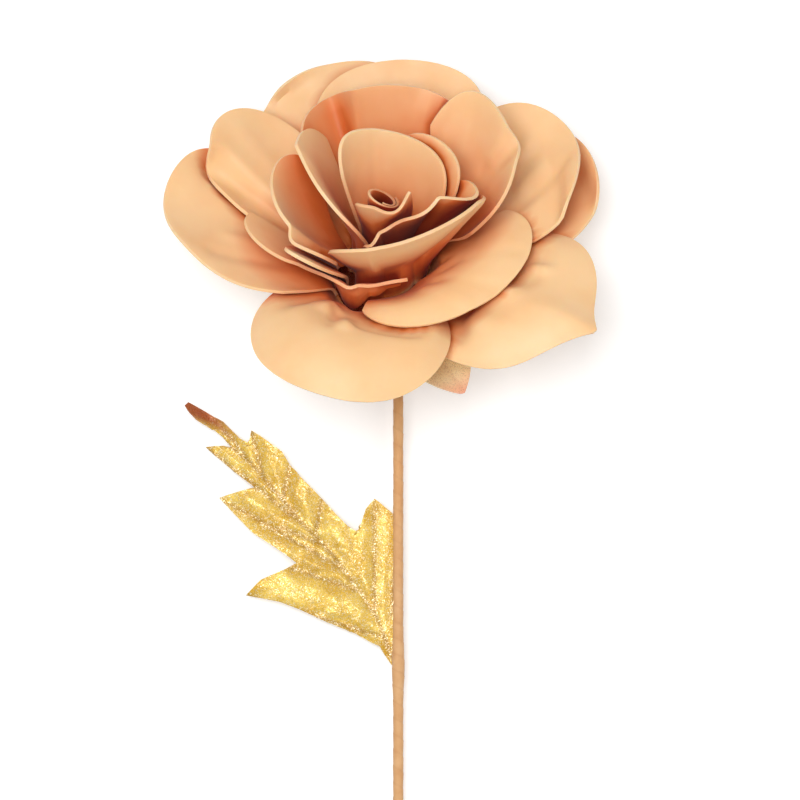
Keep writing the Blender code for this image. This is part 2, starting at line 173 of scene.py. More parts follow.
# Azimuth, half width and leans in degrees, lengths in millimetres, from the bud outwards
PETALS = [
    Petal("bud_wrap", 0, 96, 14, 86, 83, 82, 11, 9, 13, 0, 0, 14, 0.70, 1),
    Petal("bud_back_petal", 173, 68, 16, 92, 99, 114, 29, 22, 17, 4, 2, 0, 0, 0),
    Petal("bud_back_petal_right", 138, 38, 18, 88, 99, 92, 27, 28, 25, 0, 2, 0, 0, 0),
    Petal("inner_left_pointed_petal", -88, 62, 18, 125, 82, 70, 44, 20, 17, 0, 4, 10, -0.50, 0),
    Petal("inner_wrap_petal", 44, 73, 18, 80, 83, 108, 17, 15, 29, 0, 2, 0, 0, 1),
    Petal("inner_front_petal", 24, 80, 20, 86, 85, 113, 34, 23, 40, 3, 2, 0, 0, 0),
    Petal("inner_left_petal", -92, 43, 22, 104, 98, 74, 38, 38, 31, 4, 3, 0, 0, 0),
    Petal("middle_right_petal", 121, 34, 22, 94, 122, 132, 44, 42, 41, 8, 3, 0, 0, 0),
    Petal("middle_back_petal", -179, 50, 22, 114, 118, 106, 42, 40, 42, 8, 2, 0, 0, 0),
    Petal("middle_tab_petal", -60, 17, 22, 76, 86, 60, 46, 42, 41, 0, 2, 0, 0, 0),
    Petal("middle_left_petal", -38, 66, 31, 116, 54, 56, 62, 42, 38, 2, 3, 0, 0, 1),
    Petal("middle_upper_left_petal", -129, 32, 29, 42, 138, 50, 60, 60, 60, 6, 4, 0, 0, 0),
    Petal("middle_lower_right_petal", 46, 63, 27, 56, 79, 111, 59, 60, 62, -4, 8, 0, 0, 0),
    Petal("outer_top_petal", 174, 36, 27, 130, 136, 120, 57, 57, 61, 6, 3, 0, 0, 0),
    Petal("outer_right_petal", 121, 34, 24, 99, 143, 106, 62, 61, 60, 6, 3, 0, 0, 1),
    Petal("outer_left_petal", -99, 36, 30, 120, 139, 88, 67, 66, 65, 4, 3, 0, 0, 1),
    Petal("outer_top_left_petal", -163, 33, 25, 128, 138, 120, 63, 60, 61, 6, 3, 0, 0, 0),
    Petal("outer_bottom_petal", -13, 61, 28, 76, 116, 54, 72, 74, 72, -10, 5, 0, 0, 1),
    Petal("outer_corner_petal", 62, 38, 32, 78, 127, 120, 80, 74, 71, -4, 5, 17, 0.0, 1),
    Petal("outer_right_back_petal", 112, 28, 34, 88, 143, 120, 72, 68, 66, 6, 3, 0, 0, 0),
]

# Folds pressed into the petals by the former: petal, then (s, t) at both ends, half width and height in
# millimetres. s runs across the petal from -1 to 1, and t from its root to its rim.
FOLDS = [
    ("outer_bottom_petal", (-0.42, 0.45, -0.42, 0.51), 5.5, 3.4),
    ("outer_bottom_petal", (-0.15, 0.54, -0.12, 0.62), 5.0, 3.0),
    ("outer_bottom_petal", (-0.29, 0.46, -0.25, 0.66), 3.5, -1.6),
    ("outer_bottom_petal", (0.40, 0.34, 0.38, 0.52), 5.0, -2.0),
    ("outer_corner_petal", (0.45, 0.74, 0.44, 0.80), 4.0, 3.4),
    ("outer_corner_petal", (0.03, 0.52, 0.08, 0.64), 6.5, 3.0),
    ("outer_corner_petal", (0.20, 0.58, 0.42, 0.66), 4.5, -2.4),
    ("outer_corner_petal", (-0.40, 0.50, -0.30, 0.80), 6.0, 1.2),
    ("outer_right_petal", (-0.12, 0.74, -0.05, 0.83), 5.5, 2.2),
    ("outer_right_petal", (-0.34, 0.70, -0.20, 0.92), 4.5, -1.8),
    ("outer_right_petal", (0.18, 0.80, 0.20, 0.86), 4.0, 1.6),
    ("outer_left_petal", (-0.20, 0.55, -0.35, 0.90), 7.0, 1.4),
    ("outer_left_petal", (0.35, 0.50, 0.40, 0.85), 5.0, -1.2),
    ("outer_left_petal", (0.05, 0.50, 0.10, 0.72), 5.0, 1.3),
    ("middle_lower_right_petal", (0.42, 0.45, 0.60, 0.96), 4.0, -1.2),
    ("middle_lower_right_petal", (-0.05, 0.50, 0.02, 0.95), 5.0, 1.0),
    ("middle_lower_right_petal", (0.15, 0.50, 0.25, 0.95), 4.0, -0.9),
    ("middle_upper_left_petal", (-0.10, 0.55, -0.05, 0.90), 6.0, 1.2),
    ("middle_upper_left_petal", (0.45, 0.50, 0.55, 0.85), 5.0, -1.0),
    ("middle_right_petal", (0.05, 0.35, 0.02, 0.80), 4.0, -1.2),
    ("middle_left_petal", (-0.35, 0.55, -0.42, 0.95), 5.0, 0.9),
    ("middle_left_petal", (0.10, 0.50, 0.08, 0.92), 4.0, -0.8),
    ("outer_top_petal", (0.0, 0.60, 0.05, 0.95), 6.0, -1.0),
    ("outer_right_back_petal", (0.1, 0.55, 0.15, 0.92), 6.0, -1.2),
    ("bud_back_petal", (0.25, 0.55, 0.20, 0.95), 3.5, -0.6),
]

# Petals whose base is cut narrower than their rim, and by how much
NARROW_BASES = {
    "middle_right_petal": 0.95,
    "inner_left_petal": 0.9,
    "middle_tab_petal": 0.6,
    "outer_right_back_petal": 0.5,
    "middle_back_petal": 0.3,
}
NARROW_CURVE = 1.2

# How finely the pieces are made, and how strongly the foam undulates
PETAL_COLUMNS = 64
PETAL_ROWS = 44
RIM_ROUND = 0.00075
RIM_SEGMENTS = 3
RIM_ANGLE = math.radians(50)
INNER_SWELL = 0.0004
OUTER_SWELL = 0.0007
SWELL_SIZE = 0.030
FADE_START = 0.12
FADE_END = 0.42
ROLL_FACETS_ROUND = 150
ROLL_FACETS_UP = 24
ROLL_RIM_SHARE = 0.8
STAR_COLUMNS = 240
STAR_ROWS = 30
CLOTH_RIM_ROUND = 0.0003
OUTWARD = 1.0
INWARD = -1.0

azimuths = np.linspace(-math.pi, math.pi, COLUMNS, endpoint=False)
reaches = np.linspace(NEAREST, FARTHEST, ROWS)


def through_three(left, middle, right, s):
    return middle + (right - left) / 2 * s + ((right + left) / 2 - middle) * s * s


def wrapped(angle):
    return (angle + math.pi) % (2 * math.pi) - math.pi


def rim_reach(petal, s, corner=CORNER_ROUNDING):
    full = through_three(petal.reach_left, petal.reach, petal.reach_right, s) / 1000
    rounding = corner * (full - petal.start / 1000) * np.abs(s) ** 5
    point = petal.tip / 1000 * np.exp(-((np.abs(s - petal.tip_at) / TIP_WIDTH) ** TIP_SHARPNESS))
    return full - rounding + point


def free_lean(petal, s, t):
    rim = through_three(petal.lean_left, petal.lean, petal.lean_right, s)
    form = petal.cup * np.sin(math.pi * t) + petal.curl * (t**4 - 0.5)
    lean = rim + form * (1 - SIDE_FLATTENING * np.clip(s, -1, 1) ** 4)
    lean = lean + petal.wave * np.sin(WAVE_RATE * s + petal.azimuth) * t * t
    return np.radians(lean)


def smoothed(field):
    for axis, count, mode in ((0, SMOOTH_COLUMNS, "wrap"), (1, SMOOTH_ROWS, "edge")):
        width = [(0, 0), (0, 0)]
        width[axis] = (count, count)
        padded = np.pad(field, width, mode=mode)
        weights = np.hanning(2 * count + 3)[1:-1]
        length = field.shape[axis]
        shifted = [np.take(padded, range(i, i + length), axis=axis) for i in range(2 * count + 1)]
        field = np.tensordot(weights / weights.sum(), shifted, axes=1)
    return field


def resting(free, bed, skin):
    floor = np.maximum(smoothed(bed), skin)
    return 0.5 * (free + floor + np.sqrt((free - floor) ** 2 + EASING**2))


def laid_leans(petal, bed, skin):
    s = wrapped(azimuths - math.radians(petal.azimuth))[:, None] / math.radians(petal.half)
    s = np.broadcast_to(s, bed.shape)
    start = petal.start / 1000
    rim = rim_reach(petal, np.clip(s, -1, 1))
    t = np.clip((reaches[None, :] - start) / (rim - start), 0, 1)
    leans = resting(free_lean(petal, np.clip(s, -SIDE_OVERRUN, SIDE_OVERRUN), t), bed, skin)

    def ground(beside, beyond, edge):
        within = np.abs(s) <= 1 + beside / petal.half
        return within & (reaches[None, :] >= start - EASE_BELOW) & (reaches[None, :] <= edge + beyond)

    uncut = rim_reach(petal, np.clip(s, -1, 1), corner=0)
    return leans, ground(OWN_BESIDE, OWN_BEYOND, rim), ground(EASE_BESIDE, EASE_BEYOND, uncut)


def covered(under, leans, inside, thickness):
    along = np.gradient(leans, reaches, axis=1) * reaches[None, :]
    around = np.gradient(leans, azimuths, axis=0) / np.maximum(np.sin(leans), LEAST_SINE)
    slant = np.sqrt(1 + np.minimum(along**2 + around**2, MOST_SLANT))
    gap = LAYER_GAP + LAYER_SPREAD * reaches[None, :]
    outer = leans + (thickness + gap) * slant / reaches[None, :]
    return np.where(inside, np.maximum(under, outer), under)


def spline_weight(x):
    x = np.abs(x)
    near = 2 / 3 - x * x + x**3 / 2
    return np.where(x < 1, near, np.maximum(2 - x, 0) ** 3 / 6)


def sampled(field, azimuth, reach):
    """The field read between its grid points, through a smooth spline."""
    column = (azimuth - azimuths[0]) / (azimuths[1] - azimuths[0])
    row = np.clip((reach - NEAREST) / (reaches[1] - reaches[0]), 0, ROWS - 1.001)
    c = np.floor(column).astype(int)
    r = np.floor(row).astype(int)
    total = 0
    for i in range(-1, 3):
        for j in range(-1, 3):
            weight = spline_weight(column - c - i) * spline_weight(row - r - j)
            total = total + weight * field[(c + i) % COLUMNS, np.clip(r + j, 0, ROWS - 1)]
    return total


def under_roots(field):
    rows = reaches <= ROOT_RING
    bridged = field.copy()
    bridged[:, rows] = field[:, rows].max(axis=1, keepdims=True)
    return np.max([np.roll(bridged, i, axis=0) for i in range(-SEPAL_SPREAD, SEPAL_SPREAD + 1)], axis=0)


def lay_bloom():
    """Leans of each petal in turn, and of the calyx under them all."""
    radius = max(BUD_RADIUS, CORE_RADIUS) + CLEARANCE
    radius = np.where(reaches < BUD_HEIGHT + BUD_HEAD_ROOM, radius, 0.0)
    bed = np.broadcast_to(np.arcsin(np.minimum(radius / reaches, 1.0)), (COLUMNS, ROWS)).copy()
    skin = bed
    laid = []
    for petal in PETALS:
        leans, own, wide = laid_leans(petal, bed, skin)
        laid.append(leans)
        bed = covered(bed, leans, wide, FOAM)
        skin = covered(skin, leans, own, FOAM)
    beside = np.cos(azimuths - math.radians(SEPAL_AZIMUTH))
    free = np.radians(SEPAL_LEAN + SEPAL_SAG * np.maximum(beside, 0) ** 4)[:, None] * np.ones_like(bed)
    return laid, resting(free, under_roots(bed), under_roots(skin))


def placed(x, y, w):
    """Bloom-frame offsets, as arrays, turned into world points."""
    cos, sin = math.cos(BLOOM_TILT), math.sin(BLOOM_TILT)
    world = np.stack(np.broadcast_arrays(x, y * cos + w * sin, -y * sin + w * cos), axis=-1)
    return RECEPTACLE + world


def in_bloom(azimuth, lean, reach):
    side = reach * np.sin(lean)
    return placed(side * np.sin(azimuth), -side * np.cos(azimuth), reach * np.cos(lean))


def smoothstep(low, high, x):
    t = np.clip((x - low) / (high - low), 0, 1)
    return t * t * (3 - 2 * t)


def unit(vectors):
    return vectors / np.maximum(np.linalg.norm(vectors, axis=-1, keepdims=True), 1e-12)


def grid_normals(points):
    return unit(np.cross(np.gradient(points, axis=0), np.gradient(points, axis=1)))


def noise_at(points, size, seed):
    """Smooth noise from -1 to 1 at world points, with features of this size."""
    flat = points.reshape(-1, 3) / size + seed * 7.3
    return np.array([noise.noise(Vector(p)) for p in flat]).reshape(points.shape[:-1])


def distance_to_segment(points, start, end):
    along = end - start
    t = np.clip(((points - start) @ along) / max(along @ along, 1e-12), 0, 1)
    return np.linalg.norm(points - (start + t[..., None] * along), axis=-1)


def grid_mesh(name, points, attributes, closed=False):
    """A mesh of quads over a grid of points, with named numbers on its vertices."""
    across, along = points.shape[:2]
    index = np.arange(across * along).reshape(across, along)
    if closed:
        index = np.vstack([index, index[:1]])
    a, b = index[:-1, :-1], index[1:, :-1]
    c, d = index[1:, 1:], index[:-1, 1:]
    mesh = bpy.data.meshes.new(name)
    faces = np.stack([a, b, c, d], axis=-1).reshape(-1, 4)
    mesh.from_pydata(points.reshape(-1, 3).tolist(), [], faces.tolist())
    for key, values in attributes.items():
        layer = mesh.attributes.new(key, "FLOAT", "POINT")
        layer.data.foreach_set("value", np.broadcast_to(values, points.shape[:2]).astype(np.float32).ravel())
    mesh.shade_smooth()
    return mesh


def dressed(name, mesh, materials, nodes):
    """A new piece on the part's one body, which stands for its node."""
    piece = bpy.data.objects.new(name, mesh)
    bpy.context.scene.collection.objects.link(piece)
    for material in materials:
        mesh.materials.append(material)
    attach(piece, "root")
    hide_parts(*nodes)
    return piece


def thicken(piece, thickness, side, round_rim, rim_material=0, far_material=0):
    solid = piece.modifiers.new("Thickness", "SOLIDIFY")
    solid.thickness = thickness
    solid.offset = side
    solid.use_even_offset = False
    solid.material_offset = far_material
    solid.material_offset_rim = rim_material
    bevel = piece.modifiers.new("Rim", "BEVEL")
    bevel.width = round_rim
    bevel.segments = RIM_SEGMENTS
    bevel.limit_method = "ANGLE"
    bevel.angle_limit = RIM_ANGLE
    bevel.harden_normals = False


def node(tree, kind, inputs=None, **settings):
    made = tree.nodes.new(kind)
    for key, value in settings.items():
        setattr(made, key, value)
    for key, value in (inputs or {}).items():
        if isinstance(value, bpy.types.NodeSocket):
            tree.links.new(value, made.inputs[key])
        else:
            made.inputs[key].default_value = value
    return made


def attribute(tree, name):
    return node(tree, "ShaderNodeAttribute", attribute_name=name).outputs["Fac"]


def texture(tree, kind, scale, **inputs):
    place = node(tree, "ShaderNodeTexCoord").outputs["Object"]
    return node(tree, kind, {"Vector": place, "Scale": scale, **inputs})


def mix(tree, factor, a, b):
    made = node(tree, "ShaderNodeMix", data_type="RGBA")
    for index, value in ((0, factor), (6, a), (7, b)):
        if isinstance(value, bpy.types.NodeSocket):
            tree.links.new(value, made.inputs[index])
        else:
            made.inputs[index].default_value = value
    return made.outputs[2]


def ranged(tree, value, low, high, to_low, to_high):
    inputs = {"Value": value, "From Min": low, "From Max": high, "To Min": to_low, "To Max": to_high}
    return node(tree, "ShaderNodeMapRange", inputs).outputs["Result"]


def bump(tree, height, strength, distance, normal=None):
    inputs = {"Height": height, "Strength": strength, "Distance": distance}
    if normal is not None:
        inputs["Normal"] = normal
    return node(tree, "ShaderNodeBump", inputs).outputs["Normal"]


def surface(name):
    material = bpy.data.materials.new(name)
    material.use_nodes = True
    return material, material.node_tree, material.node_tree.nodes["Principled BSDF"]


def rgb(red, green, blue):
    """A colour written in sRGB, 0 to 255."""
    parts = [v / 255 for v in (red, green, blue)]
    return (*[v / 12.92 if v <= 0.04045 else ((v + 0.055) / 1.055) ** 2.4 for v in parts], 1.0)


FOAM_LIGHT = rgb(251, 208, 156)
FOAM_WARM = rgb(248, 200, 145)
# Painted shade: the foam's colour in shade, and in deep shade
FOAM_SHADE = rgb(220, 104, 28)
FOAM_DEEP_SHADE = rgb(140, 38, 8)
FOAM_RIM = rgb(254, 220, 176)
# Pale glitter, with a painted glint
GLITTER_GLINT = rgb(255, 244, 206)

# The shade, from 0 to 1, over which foam turns to its painted shade colour and then to its painted deep shade
# colour, and how far it turns to each, on the skin and on a cut rim
PAINTED_SHADE_RANGE = (0.16, 0.58)
DEEP_SHADE_RANGE = (0.52, 0.82)
SKIN_TURNS = (0.92, 1.0)
RIM_TURNS = (0.5, 0.4)
RIM_PALENESS = 0.4

# Texture sizes, in features to the metre
FOAM_MOTTLE = 38.0
FOAM_DENTS = 60.0
CORE_MOTTLE = 90.0
FOAM_PORES = 1100.0
FOAM_GRAIN = 1500.0
CLOTH_CLOUD = 75.0
CLOTH_CRUSH = 210.0
CLOTH_WEAVE = 900.0
CLOTH_FLAKES = 2100.0
TAPE_CLOUD = 120.0
TAPE_FIBRE = 2200.0
STEEL_STREAKS = 900.0
TABLE_CLOUD = 3.0


def foam_material(name, side, rim=False):
    """Matte closed-cell foam: a fine skin grain, mottled warmth, and a painted deeper orange shade where near
    foam shuts out the light.
    """
    material, tree, shader = surface(name)
    to_shade, to_deep_shade = RIM_TURNS if rim else SKIN_TURNS
    mottle = texture(tree, "ShaderNodeTexNoise", FOAM_MOTTLE, Detail=3.0).outputs["Fac"]
    color = mix(tree, ranged(tree, mottle, 0.35, 0.68, 0.0, 1.0), FOAM_LIGHT, FOAM_WARM)
    if rim:
        color = mix(tree, RIM_PALENESS, color, FOAM_RIM)
    # Painted shade: the foam turns deeper orange, then red-brown, as the measured shade on this side rises
    shade = attribute(tree, side)
    color = mix(tree, ranged(tree, shade, *PAINTED_SHADE_RANGE, 0.0, to_shade), color, FOAM_SHADE)
    color = mix(tree, ranged(tree, shade, *DEEP_SHADE_RANGE, 0.0, to_deep_shade), color, FOAM_DEEP_SHADE)
    tree.links.new(color, shader.inputs["Base Color"])
    grain = texture(tree, "ShaderNodeTexNoise", FOAM_GRAIN, Detail=2.0).outputs["Fac"]
    pores = texture(tree, "ShaderNodeTexVoronoi", FOAM_PORES).outputs["Distance"]
    dents = texture(tree, "ShaderNodeTexNoise", FOAM_DENTS, Detail=1.0).outputs["Fac"]
    normal = bump(tree, dents, 0.22, 0.0012)
    normal = bump(tree, grain, 0.3 if rim else 0.16, 0.0002, normal)
    normal = bump(tree, pores, 0.35 if rim else 0.05, 0.0002, normal)
    tree.links.new(normal, shader.inputs["Normal"])
    tree.links.new(ranged(tree, mottle, 0.3, 0.7, 0.44, 0.56), shader.inputs["Roughness"])
    shader.inputs["Subsurface Weight"].default_value = 0.22
    shader.inputs["Subsurface Radius"].default_value = (0.9, 0.35, 0.12)
    shader.inputs["Subsurface Scale"].default_value = 0.004
    shader.inputs["Specular IOR Level"].default_value = 0.42
    shader.inputs["Sheen Weight"].default_value = 0.06
    return material


def core_foam():
    """The plug inside the bud, which stays in deep shade, coloured with the painted shade colours."""
    material, tree, shader = surface("core_foam")
    mottle = texture(tree, "ShaderNodeTexNoise", CORE_MOTTLE, Detail=3.0).outputs["Fac"]
    tree.links.new(mix(tree, mottle, FOAM_DEEP_SHADE, FOAM_SHADE), shader.inputs["Base Color"])
    pores = texture(tree, "ShaderNodeTexVoronoi", FOAM_PORES).outputs["Distance"]
    tree.links.new(bump(tree, pores, 0.3, 0.0003), shader.inputs["Normal"])
    shader.inputs["Roughness"].default_value = 0.7
    return material


def cloth_material(name, gold, deep, dark, tip_color, tip_attribute, tip_cover):
    """Cloth under a coat of glitter: flakes that catch the light one by one, some pale with a painted glint
    and some darkened with painted shade, on a woven ground.
    """
    material, tree, shader = surface(name)
    cloud = texture(tree, "ShaderNodeTexNoise", CLOTH_CLOUD, Detail=4.0).outputs["Fac"]
    color = mix(tree, ranged(tree, cloud, 0.36, 0.62, 0.0, 1.0), deep, gold)
    color = mix(tree, attribute(tree, "vein"), color, dark)
    # Painted shade round the stem, in the foam's deep shade colour
    color = mix(tree, attribute(tree, "stain"), color, FOAM_DEEP_SHADE)
    # Flakes: pale glitter with a painted glint, or darker with painted shade, as if turned to or from the
    # light; metal, roughness and tilt vary with them
    flakes = texture(tree, "ShaderNodeTexVoronoi", CLOTH_FLAKES)
    sparkle = node(tree, "ShaderNodeSeparateColor", {"Color": flakes.outputs["Color"]})
    flake_and_glint = ranged(tree, sparkle.outputs["Red"], 0.66, 1.0, 0.0, 0.85)
    shaded = ranged(tree, sparkle.outputs["Green"], 0.6, 1.0, 0.0, 0.4)
    color = mix(tree, shaded, color, dark)
    # Glints fade out in the painted shade round the stem
    unshaded = ranged(tree, attribute(tree, "stain"), 0.0, 1.0, 1.0, 0.0)
    flake_and_glint = node(tree, "ShaderNodeMath", {0: flake_and_glint, 1: unshaded}, operation="MULTIPLY").outputs[0]
    color = mix(tree, flake_and_glint, color, GLITTER_GLINT)
    covered_tip = ranged(tree, attribute(tree, tip_attribute), 0.0, 1.0, 0.0, tip_cover)
    color = mix(tree, covered_tip, color, tip_color)
    tree.links.new(color, shader.inputs["Base Color"])
    tree.links.new(ranged(tree, sparkle.outputs["Blue"], 0.0, 1.0, 0.22, 0.6), shader.inputs["Roughness"])
    tree.links.new(ranged(tree, sparkle.outputs["Red"], 0.2, 1.0, 0.05, 0.45), shader.inputs["Metallic"])
    weave = texture(tree, "ShaderNodeTexNoise", CLOTH_WEAVE, Detail=3.0).outputs["Fac"]
    crush = texture(tree, "ShaderNodeTexNoise", CLOTH_CRUSH, Detail=3.0).outputs["Fac"]
    normal = bump(tree, crush, 0.45, 0.0012)
    normal = bump(tree, weave, 0.4, 0.0003, normal)
    normal = bump(tree, sparkle.outputs["Red"], 0.5, 0.0004, normal)
    tree.links.new(normal, shader.inputs["Normal"])
    return material


def tape_material():
    """Crinkled paper tape: fine wrinkles across the strip, and a darker line where its turns lap."""
    material, tree, shader = surface("tape")
    cloud = texture(tree, "ShaderNodeTexNoise", TAPE_CLOUD, Detail=4.0).outputs["Fac"]
    color = mix(tree, ranged(tree, cloud, 0.35, 0.65, 0.0, 1.0), rgb(212, 158, 104), rgb(222, 174, 122))
    color = mix(tree, attribute(tree, "lap"), color, rgb(190, 134, 84))
    tree.links.new(color, shader.inputs["Base Color"])
    place = node(tree, "ShaderNodeTexCoord").outputs["Object"]
    squeezed = node(tree, "ShaderNodeMapping", {"Vector": place, "Scale": (1.0, 0.25, 1.0)})
    inputs = {"Vector": squeezed.outputs["Vector"], "Scale": TAPE_FIBRE, "Detail": 3.0}
    fibre = node(tree, "ShaderNodeTexNoise", inputs).outputs["Fac"]
    normal = bump(tree, fibre, 0.5, 0.0003)
    normal = bump(tree, cloud, 0.4, 0.0006, normal)
    tree.links.new(normal, shader.inputs["Normal"])
    shader.inputs["Roughness"].default_value = 0.74
    shader.inputs["Sheen Weight"].default_value = 0.1
    return material


def steel_material():
    material, tree, shader = surface("drawn_steel")
    streaks = texture(tree, "ShaderNodeTexNoise", STEEL_STREAKS, Detail=4.0).outputs["Fac"]
    color = mix(tree, streaks, rgb(120, 116, 110), rgb(186, 182, 176))
    tree.links.new(color, shader.inputs["Base Color"])
    tree.links.new(ranged(tree, streaks, 0.3, 0.7, 0.28, 0.5), shader.inputs["Roughness"])
    tree.links.new(bump(tree, streaks, 0.3, 0.0001), shader.inputs["Normal"])
    shader.inputs["Metallic"].default_value = 1.0
    return material


def upsampled(values, columns, rows, shape):
    lines = np.array([np.interp(np.arange(shape[1]), rows, line) for line in values])
    return np.array([np.interp(np.arange(shape[0]), columns, line) for line in lines.T]).T


def hemisphere(count):
    """Directions spread over the hemisphere about +Z, denser towards its pole."""
    step = np.arange(count) + 0.5
    height = np.sqrt(1 - step / count)
    angle = step * math.pi * (3 - math.sqrt(5))
    side = np.sqrt(1 - height * height)
    return [Vector(d) for d in np.stack([side * np.cos(angle), side * np.sin(angle), height], axis=-1)]


def closed_off(foam, points, normals, offset):
    """How much of the light over each grid point is shut out by near foam, from 0 to 1."""
    columns = np.linspace(0, points.shape[0] - 1, SHADE_COLUMNS).round().astype(int)
    rows = np.linspace(0, points.shape[1] - 1, SHADE_ROWS).round().astype(int)
    shares = np.zeros((SHADE_COLUMNS, SHADE_ROWS))
    for i, column in enumerate(columns):
        for j, row in enumerate(rows):
            normal = Vector(normals[column, row])
            origin = Vector(points[column, row]) + normal * offset
            turn = normal.to_track_quat("Z", "Y")
            for ray in SHADE_RAYS:
                distance = foam.ray_cast(origin, turn @ ray, SHADE_REACH)[3]
                if distance is not None:
                    shares[i, j] += 1 - distance / SHADE_REACH
    return upsampled(shares / len(SHADE_RAYS), columns, rows, points.shape[:2])


# How the shade between the petals is measured for the painted shade, and the painted shade added to it on
# petals deeper in the bloom
SHADE_RAYS = hemisphere(36)
SHADE_REACH = 0.055
SHADE_COLUMNS = 22
SHADE_ROWS = 15
SKIN_STEP = 0.0006
EXTRA_SHADE = {"bud": 0.11, "inner": 0.11, "centre": 0.11, "middle_back": 0.28, "middle_right": 0.15}

# The petals, each laid on those inside it
laid_petals, laid_calyx = lay_bloom()
petal_foam = foam_material("petal_foam", "hollow")
back_foam = foam_material("back_foam", "behind")
cut_foam = foam_material("cut_foam", "hollow", rim=True)
outer_names = {p.name for p in PETALS if p.name.startswith("outer") or p.name.startswith("middle")}
shaped = []

for number, (petal, leans) in enumerate(zip(PETALS, laid_petals)):
    s = np.linspace(-1, 1, PETAL_COLUMNS)[:, None]
    t = np.linspace(0, 1, PETAL_ROWS)[None, :]
    start = petal.start / 1000
    reach = start + (rim_reach(petal, s) - start) * t**ROOT_CROWDING
    narrowing = 1 - NARROW_BASES.get(petal.name, 0) * (1 - t**ROOT_CROWDING) ** NARROW_CURVE
    azimuth = np.radians(petal.azimuth + petal.half * s * narrowing)
    points = in_bloom(azimuth, sampled(leans, azimuth, reach), reach)
    swell = OUTER_SWELL if petal.name in outer_names else INNER_SWELL
    height = swell * noise_at(points, SWELL_SIZE, number)
    for name, (s0, t0, s1, t1), width, tall in FOLDS:
        if name != petal.name:
            continue
        ends = []
        for fold_s, fold_t in ((s0, t0), (s1, t1)):
            column = round((fold_s + 1) / 2 * (PETAL_COLUMNS - 1))
            ends.append(points[column, round(fold_t * (PETAL_ROWS - 1))])
        away = distance_to_segment(points, *ends)
        height = height + tall / 1000 * np.exp(-((away * 1000 / width) ** 2))
    height = height * smoothstep(FADE_START, FADE_END, t)
    points = points - grid_normals(points) * height[..., None]
    points[..., 2] = np.maximum(points[..., 2], cad_low.z + FOAM)
    shaped.append(points)

# The heart's rolled strip
turn = np.linspace(0, 1, ROLL_FACETS_ROUND)[:, None]
t = np.linspace(0, 1, ROLL_FACETS_UP)[None, :]
angle = 2 * math.pi * ROLL_TURNS * turn
radius = ROLL_INNER_RADIUS + (BUD_RADIUS - ROLL_FOAM - ROLL_INNER_RADIUS) * turn
top = BUD_HEIGHT - ROLL_SUNK + ROLL_SLANT * np.cos(angle + ROLL_SLANT_TURN)
base = CORE_HEIGHT + CLEARANCE
roll_points = placed(radius * np.sin(angle), -radius * np.cos(angle), base + (top - base) * t)

# All the foam together, which shades each piece of it
foam_points, foam_quads = [], []
for points in [*shaped, roll_points]:
    index = np.arange(points.shape[0] * points.shape[1]).reshape(points.shape[:2]) + len(foam_points)
    foam_points.extend(points.reshape(-1, 3).tolist())
    quads = np.stack([index[:-1, :-1], index[1:, :-1], index[1:, 1:], index[:-1, 1:]], axis=-1)
    foam_quads.extend(quads.reshape(-1, 4).tolist())
foam_tree = BVHTree.FromPolygons(foam_points, foam_quads)

strips = [(petal.name + "_foam", petal.name, FOAM, RIM_ROUND) for petal in PETALS]
strips.append(("rolled_strip", "centre_roll", ROLL_FOAM, RIM_ROUND * ROLL_RIM_SHARE))
for (name, cad_node, thickness, rounding), points in zip(strips, [*shaped, roll_points]):
    normals = grid_normals(points)
    extra_shade = max((more for start, more in EXTRA_SHADE.items() if cad_node.startswith(start)), default=0.0)
    # Painted shade on both sides of each piece: the share of light shut out by near foam, plus extra painted
    # shade for petals deep in the bloom
    attributes = {
        "hollow": closed_off(foam_tree, points, -normals, SKIN_STEP) + extra_shade,
        "behind": closed_off(foam_tree, points, normals, thickness + SKIN_STEP) + extra_shade,
    }
    mesh = grid_mesh(name, points, attributes)
    piece = dressed(name, mesh, [back_foam, cut_foam, petal_foam], [cad_node])
    thicken(piece, thickness, OUTWARD, rounding, rim_material=1, far_material=2)

# The plug keeps its own shape
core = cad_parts["bud_core"]
core.data.materials.clear()
core.data.materials.append(core_foam())

# The calyx: a star of glittered cloth, with painted dark shade round the stem, and pink at its tips
SEPAL_RIB_WIDTH = 0.0012
SEPAL_RIB_RISE = 0.0004
SEPAL_WAVE_RISE = 0.0003
SEPAL_WAVE_SIZE = 0.006
# Reaches over which the painted shade round the stem fades out
SEPAL_SHADED = (0.044, 0.056)
SEPAL_PINK = (0.074, 0.096)
azimuth = np.linspace(-math.pi, math.pi, STAR_COLUMNS, endpoint=False)[:, None]
t = np.linspace(0, 1, STAR_ROWS)[None, :]
lobe = 1 - np.abs(wrapped(SEPALS * (azimuth - math.radians(SEPAL_AZIMUTH)))) / math.pi
rim = SEPAL_NOTCH + (SEPAL_REACH - SEPAL_NOTCH) * lobe**SEPAL_POINT
reach = SEPAL_START + (rim - SEPAL_START) * t**ROOT_CROWDING
azimuth = np.broadcast_to(azimuth, reach.shape)
points = in_bloom(azimuth, sampled(laid_calyx, azimuth, reach), reach)
off_rib = (1 - lobe) * math.pi / SEPALS * reach
rib = np.exp(-((off_rib / SEPAL_RIB_WIDTH) ** 2)) * smoothstep(0.1, 0.3, t)
height = SEPAL_RIB_RISE * rib + SEPAL_WAVE_RISE * noise_at(points, SEPAL_WAVE_SIZE, 3)
points = points - grid_normals(points) * height[..., None]
points[..., 2] = np.maximum(points[..., 2], cad_low.z + FABRIC)
pink = smoothstep(*SEPAL_PINK, reach)
